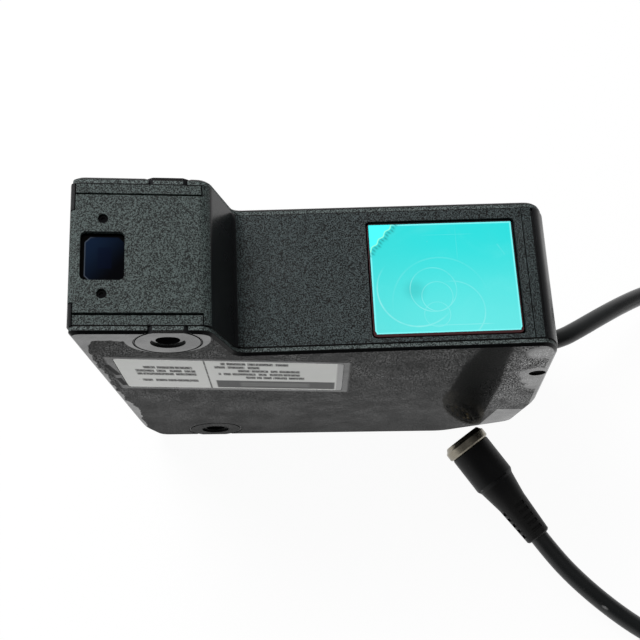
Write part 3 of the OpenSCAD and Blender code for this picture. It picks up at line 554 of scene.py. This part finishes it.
cover_bevel = coat(
    "cover_bevel", (0.003, 0.0032, 0.0036), roughness=0.2, grain_size=0.9, grain_depth=0.003, dust=0.04,
    rub=0.2, gloss=0.05,
)
for node in ("label_side_cover", "far_side_cover"):
    cover = rounded(node, width=0.2)
    lay_on(cover.data, cover_face, cover_bevel, rim_coat)
    for patch in cover.data.polygons:
        side = abs(patch.normal.y)
        patch.material_index = 0 if side > FACE_ON else 1 if side > SLOPED else 2
housing.data.materials.append(cover_face)
for patch in housing.data.polygons:
    if abs(patch.normal.y) > FACE_ON and abs(patch.center.y) > COVER_Y:
        patch.material_index = 2


# Boss lips
# Thin lips of black rubber lie in the gaps between the mounting bosses and the covers. They stop at the
# open front or back edge of the head.
# The profile is the distance from the boss's middle and from the head's middle plane
LIP_PROFILE = [(7.08, 16.6), (7.08, 17.78), (7.16, 17.86), (7.34, 17.86), (7.42, 17.78), (7.42, 16.6)]
FRONT_BOSS = (21.2, 86.5)
BACK_BOSS = (35.0, 6.5)
LIP_STEPS = 72
seal = moulding("seal_rubber", (0.008, 0.008, 0.009), roughness=0.4)
lip = bmesh.new()
for middle, first, sweep in ((FRONT_BOSS, 129, 282), (BACK_BOSS, -48, 276)):
    hub = Vector((middle[0] - LEFT_CORNER, 0, middle[1])) * MM
    outward = Vector((math.cos(math.radians(first)), 0, math.sin(math.radians(first))))
    for side in (-1, 1):
        corners = [lip.verts.new(hub + (outward * r + Vector((0, side * y, 0))) * MM) for r, y in LIP_PROFILE]
        edges = [lip.edges.new(pair) for pair in zip(corners, corners[1:] + corners[:1])]
        bmesh.ops.spin(
            lip, geom=corners + edges, cent=hub, axis=(0, -1, 0), angle=math.radians(sweep),
            steps=LIP_STEPS,
        )
bmesh.ops.holes_fill(lip, edges=[edge for edge in lip.edges if edge.is_boundary])
bmesh.ops.recalc_face_normals(lip, faces=lip.faces)
lip_mesh = bpy.data.meshes.new("boss_lips")
lip.to_mesh(lip_mesh)
lip.free()
lip_mesh.materials.append(seal)
boss_lips = bpy.data.objects.new("boss_lips", lip_mesh)
scene.collection.objects.link(boss_lips)
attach(boss_lips, "root")


# Cover screws
# Small screws of blackened steel hold each cover to the casting. One on the label side lies under the
# label.
black_steel = coat(
    "black_steel", (0.002, 0.002, 0.0024), roughness=0.45, grain_size=0.5, grain_depth=0.003, dust=0.05,
    rub=0.2, gloss=0.025,
)
dress("label_cover_screws", black_steel)
dress("far_cover_screws", black_steel)


# Label
# A pale film is stuck on the label-side cover. It has two fields with rows of dark broken bars, a dark
# band and a clear margin.
ROW_HEIGHT = 0.085
# Left end, right end and top of each row, in shares of the label
ROWS = [
    (0.11, 0.32, 0.22), (0.07, 0.33, 0.34), (0.07, 0.33, 0.45), (0.08, 0.33, 0.68), (0.45, 0.75, 0.05),
    (0.42, 0.62, 0.17), (0.52, 0.8, 0.29), (0.43, 0.8, 0.41), (0.55, 0.82, 0.53),
]
label_film, tree, shader = new_material("label_film")
shader.inputs["Specular IOR Level"].default_value = 0.05
shader.inputs["Coat Roughness"].default_value = 0.2
along, _, up = spot(tree)
u, v = label_spot(tree, along, up)
ragged = put(tree, "CombineXYZ", {0: reckon(tree, "MULTIPLY", u, 55.0), 1: reckon(tree, "MULTIPLY", v, 40.0)})
breaks = put(tree, "TexNoise", {"Vector": ragged.outputs[0], "Scale": 1.6, "Detail": 2.0}).outputs[0]


def bar_row(tree, u, v, left, right, top, seed):
    """A row of dark broken bars across part of the label."""
    bars = put(tree, "TexNoise", {"W": reckon(tree, "MULTIPLY_ADD", u, 34.0, seed), "Scale": 1.0},
               noise_dimensions="1D").outputs[0]
    row = oblong(tree, u, v, (left, right, 0.004), (top, top + ROW_HEIGHT, 0.022))
    return reckon(tree, "MULTIPLY", row, ease(tree, bars, 0.32, 0.4))


ink = within(tree, u, 0.377, 0.384, 0.002)
for seed, row in enumerate(ROWS):
    ink = reckon(tree, "MAXIMUM", ink, bar_row(tree, u, v, *row, seed * 7.3))
ink = reckon(tree, "MULTIPLY", ink, ease(tree, breaks, 0.36, 0.5, 0.45, 1.0))
band = oblong(tree, u, v, (0.41, 0.965, 0.004), (0.69, 0.965, 0.012))
bar = oblong(tree, u, v, (0.52, 0.84, 0.012), (0.755, 0.9, 0.025))
skin = use_group(tree, grain_group, {"Size": 0.8})
lint = use_group(tree, dust_group, {"Amount": 0.35})["Mask"]
film = tint(tree, skin["Cloud"], (0.84, 0.87, 0.81, 1), (0.93, 0.95, 0.9, 1))
film = tint(tree, reckon(tree, "MULTIPLY", ink, 0.95), film, grey(0.03))
film = tint(tree, band, film, (0.06, 0.064, 0.062, 1))
film = tint(tree, reckon(tree, "MULTIPLY", bar, 0.6), film, (0.3, 0.31, 0.3, 1))
margin = ease(tree, u, 0.968, 0.976)
film = tint(tree, margin, film, (0.1, 0.105, 0.1, 1))
film = tint(tree, lint, film, grey(0.3))
clear = reckon(tree, "SUBTRACT", 1.0, reckon(tree, "MAXIMUM", ink, reckon(tree, "MULTIPLY", band, 0.85)))
wire(tree, shader, base_color=film, roughness=0.4, coat_weight=clear,
     normal=emboss(tree, skin["Cloud"], 0.01))
dress("label_sticker", label_film)


# Front panels
# Thin plates with a baked charcoal grain close the transmitter and receiver faces. Two narrow inlays
# and an end strip in the same finish sit a little lower, with dark seams round them.
block_coat = coat("block_coat", (0.051, 0.066, 0.0638), fleck=0.85, gloss=0.18, **GRAINED)
# The receiver panel and its end strip take a darker copy of the same coat, as painted shade
shaded_panel_coat = coat("shaded_panel_coat", (0.033, 0.0438, 0.0448), fleck=1.0, gloss=0.18, **GRAINED)
for node, finish in (
    ("transmitter_panel", block_coat), ("receiver_panel", shaded_panel_coat), ("upper_inlay", block_coat),
    ("lower_inlay", block_coat), ("receiver_end_strip", shaded_panel_coat),
):
    panel = rounded(node, width=0.15)
    lay_on(panel.data, finish)
dress("panel_screws", black_steel)


# Windows
# The transmitter looks out through a small dark blue glass. The receiver has a large filter whose
# coating throws back cyan light. Rubber seals sit behind both.
RECESS_SHADE_LEFT, RECESS_SHADE_RIGHT = 3.6, 11.9
RECESS_SHADE_TOP, RECESS_SHADE_FOOT = 4.0, -6.1
CORNER_CUT = 1.2
FILTER_FOOT = (36.7, 77.3)
FILTER_TILT = math.radians(6)
FILTER_MIDDLE = (48.2, -0.7)
FILTER_HALF = (17.3, 14.1)
BRIGHT_CORNER = (-16.6, 7.5)
dress("transmitter_seal", seal)
dress("receiver_seal", seal)

# Dark blue glass with a painted reflection, deep blue at the upper left and black towards the lower right,
# a painted shadow of the recess as a dark frame whose corners are cut off, a painted glint beside it, and
# painted shade for the square beam opening behind
window_blue, tree, shader = new_material("window_blue")
shader.inputs["Specular IOR Level"].default_value = 0.06
along, across, _ = spot(tree)
# Painted reflection: deep blue at the upper left fading to black at the lower right
reflection_fall = off_line(tree, along, across, (2.8, 4.9), (11.1, -9.3))
deep = tint(tree, ease(tree, reflection_fall, 1.5, 11.5), (0.006, 0.015, 0.038, 1), (0.0008, 0.001, 0.0018, 1))
# Painted shade of the square beam opening seen through the glass
beam_opening_shade = oblong(tree, along, across, (6.4, 9.3, 0.25), (-3.2, 1.6, 0.25))
deep = tint(tree, reckon(tree, "MULTIPLY", beam_opening_shade, 0.5), deep, (0.002, 0.004, 0.016, 1))
recess_shade_edges = []
for edge_at, inward in ((RECESS_SHADE_LEFT, 1), (RECESS_SHADE_RIGHT, -1)):
    recess_shade_edges += [
        off_line(tree, along, across, (edge_at, 0), (inward, 0)),
        off_line(tree, along, across, (edge_at, RECESS_SHADE_TOP - CORNER_CUT), (inward, -1)),
        off_line(tree, along, across, (edge_at, RECESS_SHADE_FOOT + CORNER_CUT), (inward, 1)),
    ]
recess_shade_edges += [reckon(tree, "SUBTRACT", RECESS_SHADE_TOP, across), reckon(tree, "SUBTRACT", across, RECESS_SHADE_FOOT)]
inner = nearest(tree, recess_shade_edges)
# The dark frame is a painted shadow of the recess round the glass
deep = tint(tree, ease(tree, inner, -0.08, 0.08, 1.0, 0.0), deep, grey(0.001))
# A painted glint along the left edge of the frame
left_half = ease(tree, along, 4.2, 6.2, 1.0, 0.0)
left_glint = reckon(tree, "MULTIPLY", within(tree, inner, 0.0, 0.2, 0.1), left_half)
deep = tint(tree, reckon(tree, "MULTIPLY", left_glint, 0.7), deep, (0.09, 0.11, 0.14, 1))
lint = use_group(tree, dust_group, {"Amount": 0.06})["Mask"]
wire(tree, shader, base_color=tint(tree, lint, deep, grey(0.12)), roughness=0.06)
dress("transmitter_window", window_blue)

# Cyan coating with painted reflections that make it paler towards the label side and darker to the left,
# faint rings from the lens behind it, a painted shadow of the gap round the glass as a dark rim, a few
# scratches, and one brighter corner with a darker serrated band beside it
filter_cyan, tree, shader = new_material("filter_cyan")
wire(tree, shader, metallic=0.5, roughness=0.05)
along, across, up = spot(tree)
ahead = off_line(tree, along, up, FILTER_FOOT, (math.cos(FILTER_TILT), math.sin(FILTER_TILT)))
s = reckon(tree, "SUBTRACT", ahead, FILTER_MIDDLE[0])
t = reckon(tree, "SUBTRACT", across, FILTER_MIDDLE[1])
where = piece_place(tree)
# A ring is a middle, a radius, a width, the side that shows and a strength. A streak is two ranges and a
# strength
RINGS = [
    ((-2.8, -2.9), 5.4, 0.2, (-1, -0.3), 0.3), ((-2.8, -2.9), 5.4, 0.2, None, 0.2),
    ((-2.0, -4.6), 3.6, 0.18, None, 0.2), ((-2.0, -4.6), 3.6, 0.18, (-0.6, -1), 0.28),
    ((-2.3, -9.0), 3.0, 0.2, None, 0.16), ((-1.2, -6.2), 11.2, 0.28, (-0.2, 1), 0.1),
    ((1.6, -8.2), 7.2, 0.24, (1, 0.3), 0.24), ((-6.6, -2.6), 9.2, 0.28, (-0.8, -1), 0.36),
]
STREAKS = [
    ((-8, 10, 1.5), (-11.75, -11.55, 0.1), 0.22), ((-4, 7, 1.5), (10.7, 10.85, 0.1), 0.1),
    ((3.4, 3.55, 0.1), (5, 12, 1.5), 0.08),
]


def arc_line(tree, s, t, at, radius, width, bow):
    """A thin ring, or the part of it that lies towards a direction."""
    off = reckon(tree, "ABSOLUTE", off_disc(tree, s, t, at, radius))
    line = ease(tree, off, width * 0.2, width, 1.0, 0.0)
    if bow:
        side = off_line(tree, s, t, at, bow)
        line = reckon(tree, "MULTIPLY", line, ease(tree, side, -0.1 * radius, 0.7 * radius))
    return line


scratch = slot_mark(tree, s, t, (13.1, 8.0), (14.7, 5.3), 0.05)
marks = reckon(tree, "MULTIPLY", scratch, 0.25)
for *ring, strength in RINGS:
    line = arc_line(tree, s, t, *ring)
    marks = reckon(tree, "MAXIMUM", marks, reckon(tree, "MULTIPLY", line, strength))
for *limits, strength in STREAKS:
    line = oblong(tree, s, t, *limits)
    marks = reckon(tree, "MAXIMUM", marks, reckon(tree, "MULTIPLY", line, strength))
patchy = put(tree, "TexNoise", {"Vector": where, "Scale": 260.0, "Detail": 3.0}).outputs[0]
marks = reckon(tree, "MULTIPLY", marks, ease(tree, patchy, 0.35, 0.65, 0.5, 1.0))
# Painted reflection makes the coating paler towards the label side and darker to the left
coating_and_reflection = tint(tree, ease(tree, t, 12, -14), (0.008, 0.71, 0.71, 1), (0.115, 0.78, 0.77, 1))
coating_and_reflection = tint(tree, ease(tree, s, -17, 4, 0.35, 0.0), coating_and_reflection, (0.04, 0.66, 0.65, 1))
smear = put(tree, "TexNoise", {"Vector": where, "Scale": 60.0, "Detail": 4.0, "Distortion": 1.5}).outputs[0]
coating_and_reflection = tint(tree, ease(tree, smear, 0.5, 0.75, 0.0, 0.12), coating_and_reflection, (0.2, 0.84, 0.82, 1))
ghost = ease(tree, off_point(tree, s, t, (-7.2, -2.9)), 0.5, 3.6, 0.35, 0.0)
coating_and_reflection = tint(tree, ghost, coating_and_reflection, (0.01, 0.42, 0.42, 1))
coating_and_reflection = tint(tree, marks, coating_and_reflection, (0.5, 0.95, 0.92, 1))
from_side = reckon(tree, "SUBTRACT", FILTER_HALF[0], reckon(tree, "ABSOLUTE", s))
from_end = reckon(tree, "SUBTRACT", FILTER_HALF[1], reckon(tree, "ABSOLUTE", t))
from_rim = reckon(tree, "MINIMUM", from_side, from_end)
from_dark = reckon(tree, "SUBTRACT", from_rim, ease(tree, t, -12.5, -13.2, 0.0, 0.32))
coating_and_reflection = tint(tree, within(tree, from_dark, 0.4, 0.75, 0.12), coating_and_reflection, (0.2, 0.93, 0.93, 1))
# One corner is brighter, with a pale green edge and a darker serrated band beside it
beside = off_line(tree, s, t, BRIGHT_CORNER, (4.8, 5.6))
wave = reckon(tree, "SINE", reckon(tree, "MULTIPLY", beside, 2.5))
corner = reckon(tree, "MULTIPLY_ADD", wave, 0.2, off_line(tree, s, t, BRIGHT_CORNER, (5.6, -4.8)))
comb = ease(tree, reckon(tree, "SINE", reckon(tree, "MULTIPLY", beside, 7.5)), -0.6, 0.9, 0.25, 0.9)
fringe = reckon(tree, "MULTIPLY", within(tree, corner, 0.3, 1.2, 0.5), comb)
coating_and_reflection = tint(tree, fringe, coating_and_reflection, (0.005, 0.36, 0.35, 1))
coating_and_reflection = tint(tree, ease(tree, corner, -0.1, 0.1, 1.0, 0.0), coating_and_reflection, (0.06, 0.98, 0.98, 1))
coating_and_reflection = tint(tree, within(tree, corner, -0.12, 0.12, 0.1), coating_and_reflection, (0.32, 1.0, 0.72, 1))
lint = use_group(tree, dust_group, {"Amount": 0.08})["Mask"]
coating_and_reflection = tint(tree, lint, coating_and_reflection, grey(0.5))
# The dark rim is painted shade of the gap round the glass, turning dark red towards the label side
rim_red = ease(tree, t, 2, -13, 0.0, 1.0)
rim_gap_shade = tint(tree, rim_red, (0.002, 0.002, 0.004, 1), (0.035, 0.001, 0.002, 1))
coating_and_reflection = tint(tree, ease(tree, from_dark, 0.36, 0.44, 1.0, 0.0), coating_and_reflection, rim_gap_shade)
wire(tree, shader, base_color=coating_and_reflection)

# The ground edges of the filter pass only deep red
filter_edge = moulding("filter_edge", (0.05, 0.004, 0.006), roughness=0.4, gloss=0.3)
pane = rounded("receiver_filter", width=0.12, segments=2)
lay_on(pane.data, filter_cyan, filter_edge)
for patch in pane.data.polygons:
    patch.material_index = 0 if patch.normal.z > UPWARD else 1


# Optics and boards
# Inside, a bench of blasted aluminium carries the laser with its fold mirror and the lens barrel, and
# two green boards hold the image sensor and the processor.
alloy = metal("bench_alloy", (0.5, 0.51, 0.52), roughness=0.45, grain_size=0.3)
silvered = metal("mirror_coat", (0.88, 0.9, 0.9), roughness=0.04)
solder_mask = moulding("solder_mask", (0.015, 0.1, 0.04), roughness=0.35)
lens_glass, tree, shader = new_material("lens_glass")
wire(tree, shader, base_color=(0.75, 0.85, 0.9, 1), roughness=0.02)
shader.inputs["Transmission Weight"].default_value = 0.9
for finish, group in (
    (alloy, ("mirror_mount", "laser_holder", "lens_cradle", "sensor_bracket")),
    (silvered, ("fold_mirror",)),
    (lens_glass, ("collimating_lens", "front_lens", "rear_lens")),
    (gilt, ("laser_diode",)),
    (black_steel, ("lens_barrel",)),
    (solder_mask, ("sensor_board", "main_board")),
    (chip_black, ("image_sensor", "processor")),
    (nickel, ("board_screws",)),
):
    for node in group:
        dress(node, finish)


# Stage
# A pale table in a plain room that is bright low down and towards the back, and dimmer overhead, on the
# right and behind the camera. The camera sees all of it as white, and mirrors see the table and the low part
# as white. A soft lamp hangs on the left behind the head, and a small panel over it shows in the filter.
TABLE_HALF = 3
TABLE_SHOWN = 0.9
TABLE_WHITE = 1.06
floor_mesh = bpy.data.meshes.new("table")
shape = bmesh.new()
bmesh.ops.create_grid(shape, x_segments=1, y_segments=1, size=TABLE_HALF)
shape.to_mesh(floor_mesh)
shape.free()
table = bpy.data.objects.new("table", floor_mesh)
scene.collection.objects.link(table)
table_white, tree, shader = new_material("table_white")
wire(tree, shader, base_color=grey(0.6), roughness=0.9)
ray = put(tree, "LightPath").outputs
seen = reckon(tree, "MAXIMUM", ray["Is Camera Ray"], ray["Is Transmission Ray"])
seen = reckon(tree, "MAXIMUM", seen, ray["Is Glossy Ray"])
share = reckon(tree, "MULTIPLY", seen, TABLE_SHOWN)
white = put(tree, "Emission", {"Color": grey(1.0), "Strength": TABLE_WHITE})
mix = put(tree, "MixShader", {0: share, 1: shader.outputs[0], 2: white.outputs[0]})
tree.links.new(mix.outputs[0], tree.nodes["Material Output"].inputs["Surface"])
floor_mesh.materials.append(table_white)

world = bpy.data.worlds.new("room")
world.use_nodes = True
scene.world = world
tree = world.node_tree
ray = put(tree, "LightPath").outputs
facing = put(tree, "SeparateXYZ", {0: put(tree, "TexCoord").outputs["Generated"]}).outputs
backdrop = ease(tree, facing[2], 0.08, 0.25, 1.0, 0.0)
mirrored = reckon(tree, "MULTIPLY", ray["Is Glossy Ray"], backdrop)
shown = reckon(tree, "MAXIMUM", ray["Is Camera Ray"], ray["Is Transmission Ray"])
shown = reckon(tree, "MAXIMUM", shown, mirrored)
height = ease(tree, facing[2], 0.05, 0.7, 1.0, 0.3)
depth = ease(tree, facing[1], -0.8, 0.3, 0.35, 1.0)
beside = ease(tree, facing[0], 0.2, 0.8, 1.0, 0.35)
room = reckon(tree, "MULTIPLY", reckon(tree, "MULTIPLY", height, depth), beside)
sky = tree.nodes["Background"]
sky.inputs["Color"].default_value = grey(1.0)
tree.links.new(reckon(tree, "MAXIMUM", room, shown), sky.inputs["Strength"])


def hang_lamp(name, place, aim, width, power):
    """A soft square lamp that looks at a point."""
    data = bpy.data.lights.new(name, "AREA")
    data.size = width
    data.energy = power
    lamp = bpy.data.objects.new(name, data)
    lamp.location = place
    lamp.rotation_mode = "QUATERNION"
    lamp.rotation_quaternion = (Vector(aim) - Vector(place)).to_track_quat("-Z", "Y")
    scene.collection.objects.link(lamp)


hang_lamp("soft_lamp", (-0.32, 0.3, 0.55), aim=(0, 0, 0.06), width=0.3, power=3.5)
hang_lamp("filter_panel", (0.0534, 0.178, 0.548), aim=(0.02, 0, 0.082), width=0.17, power=0.08)
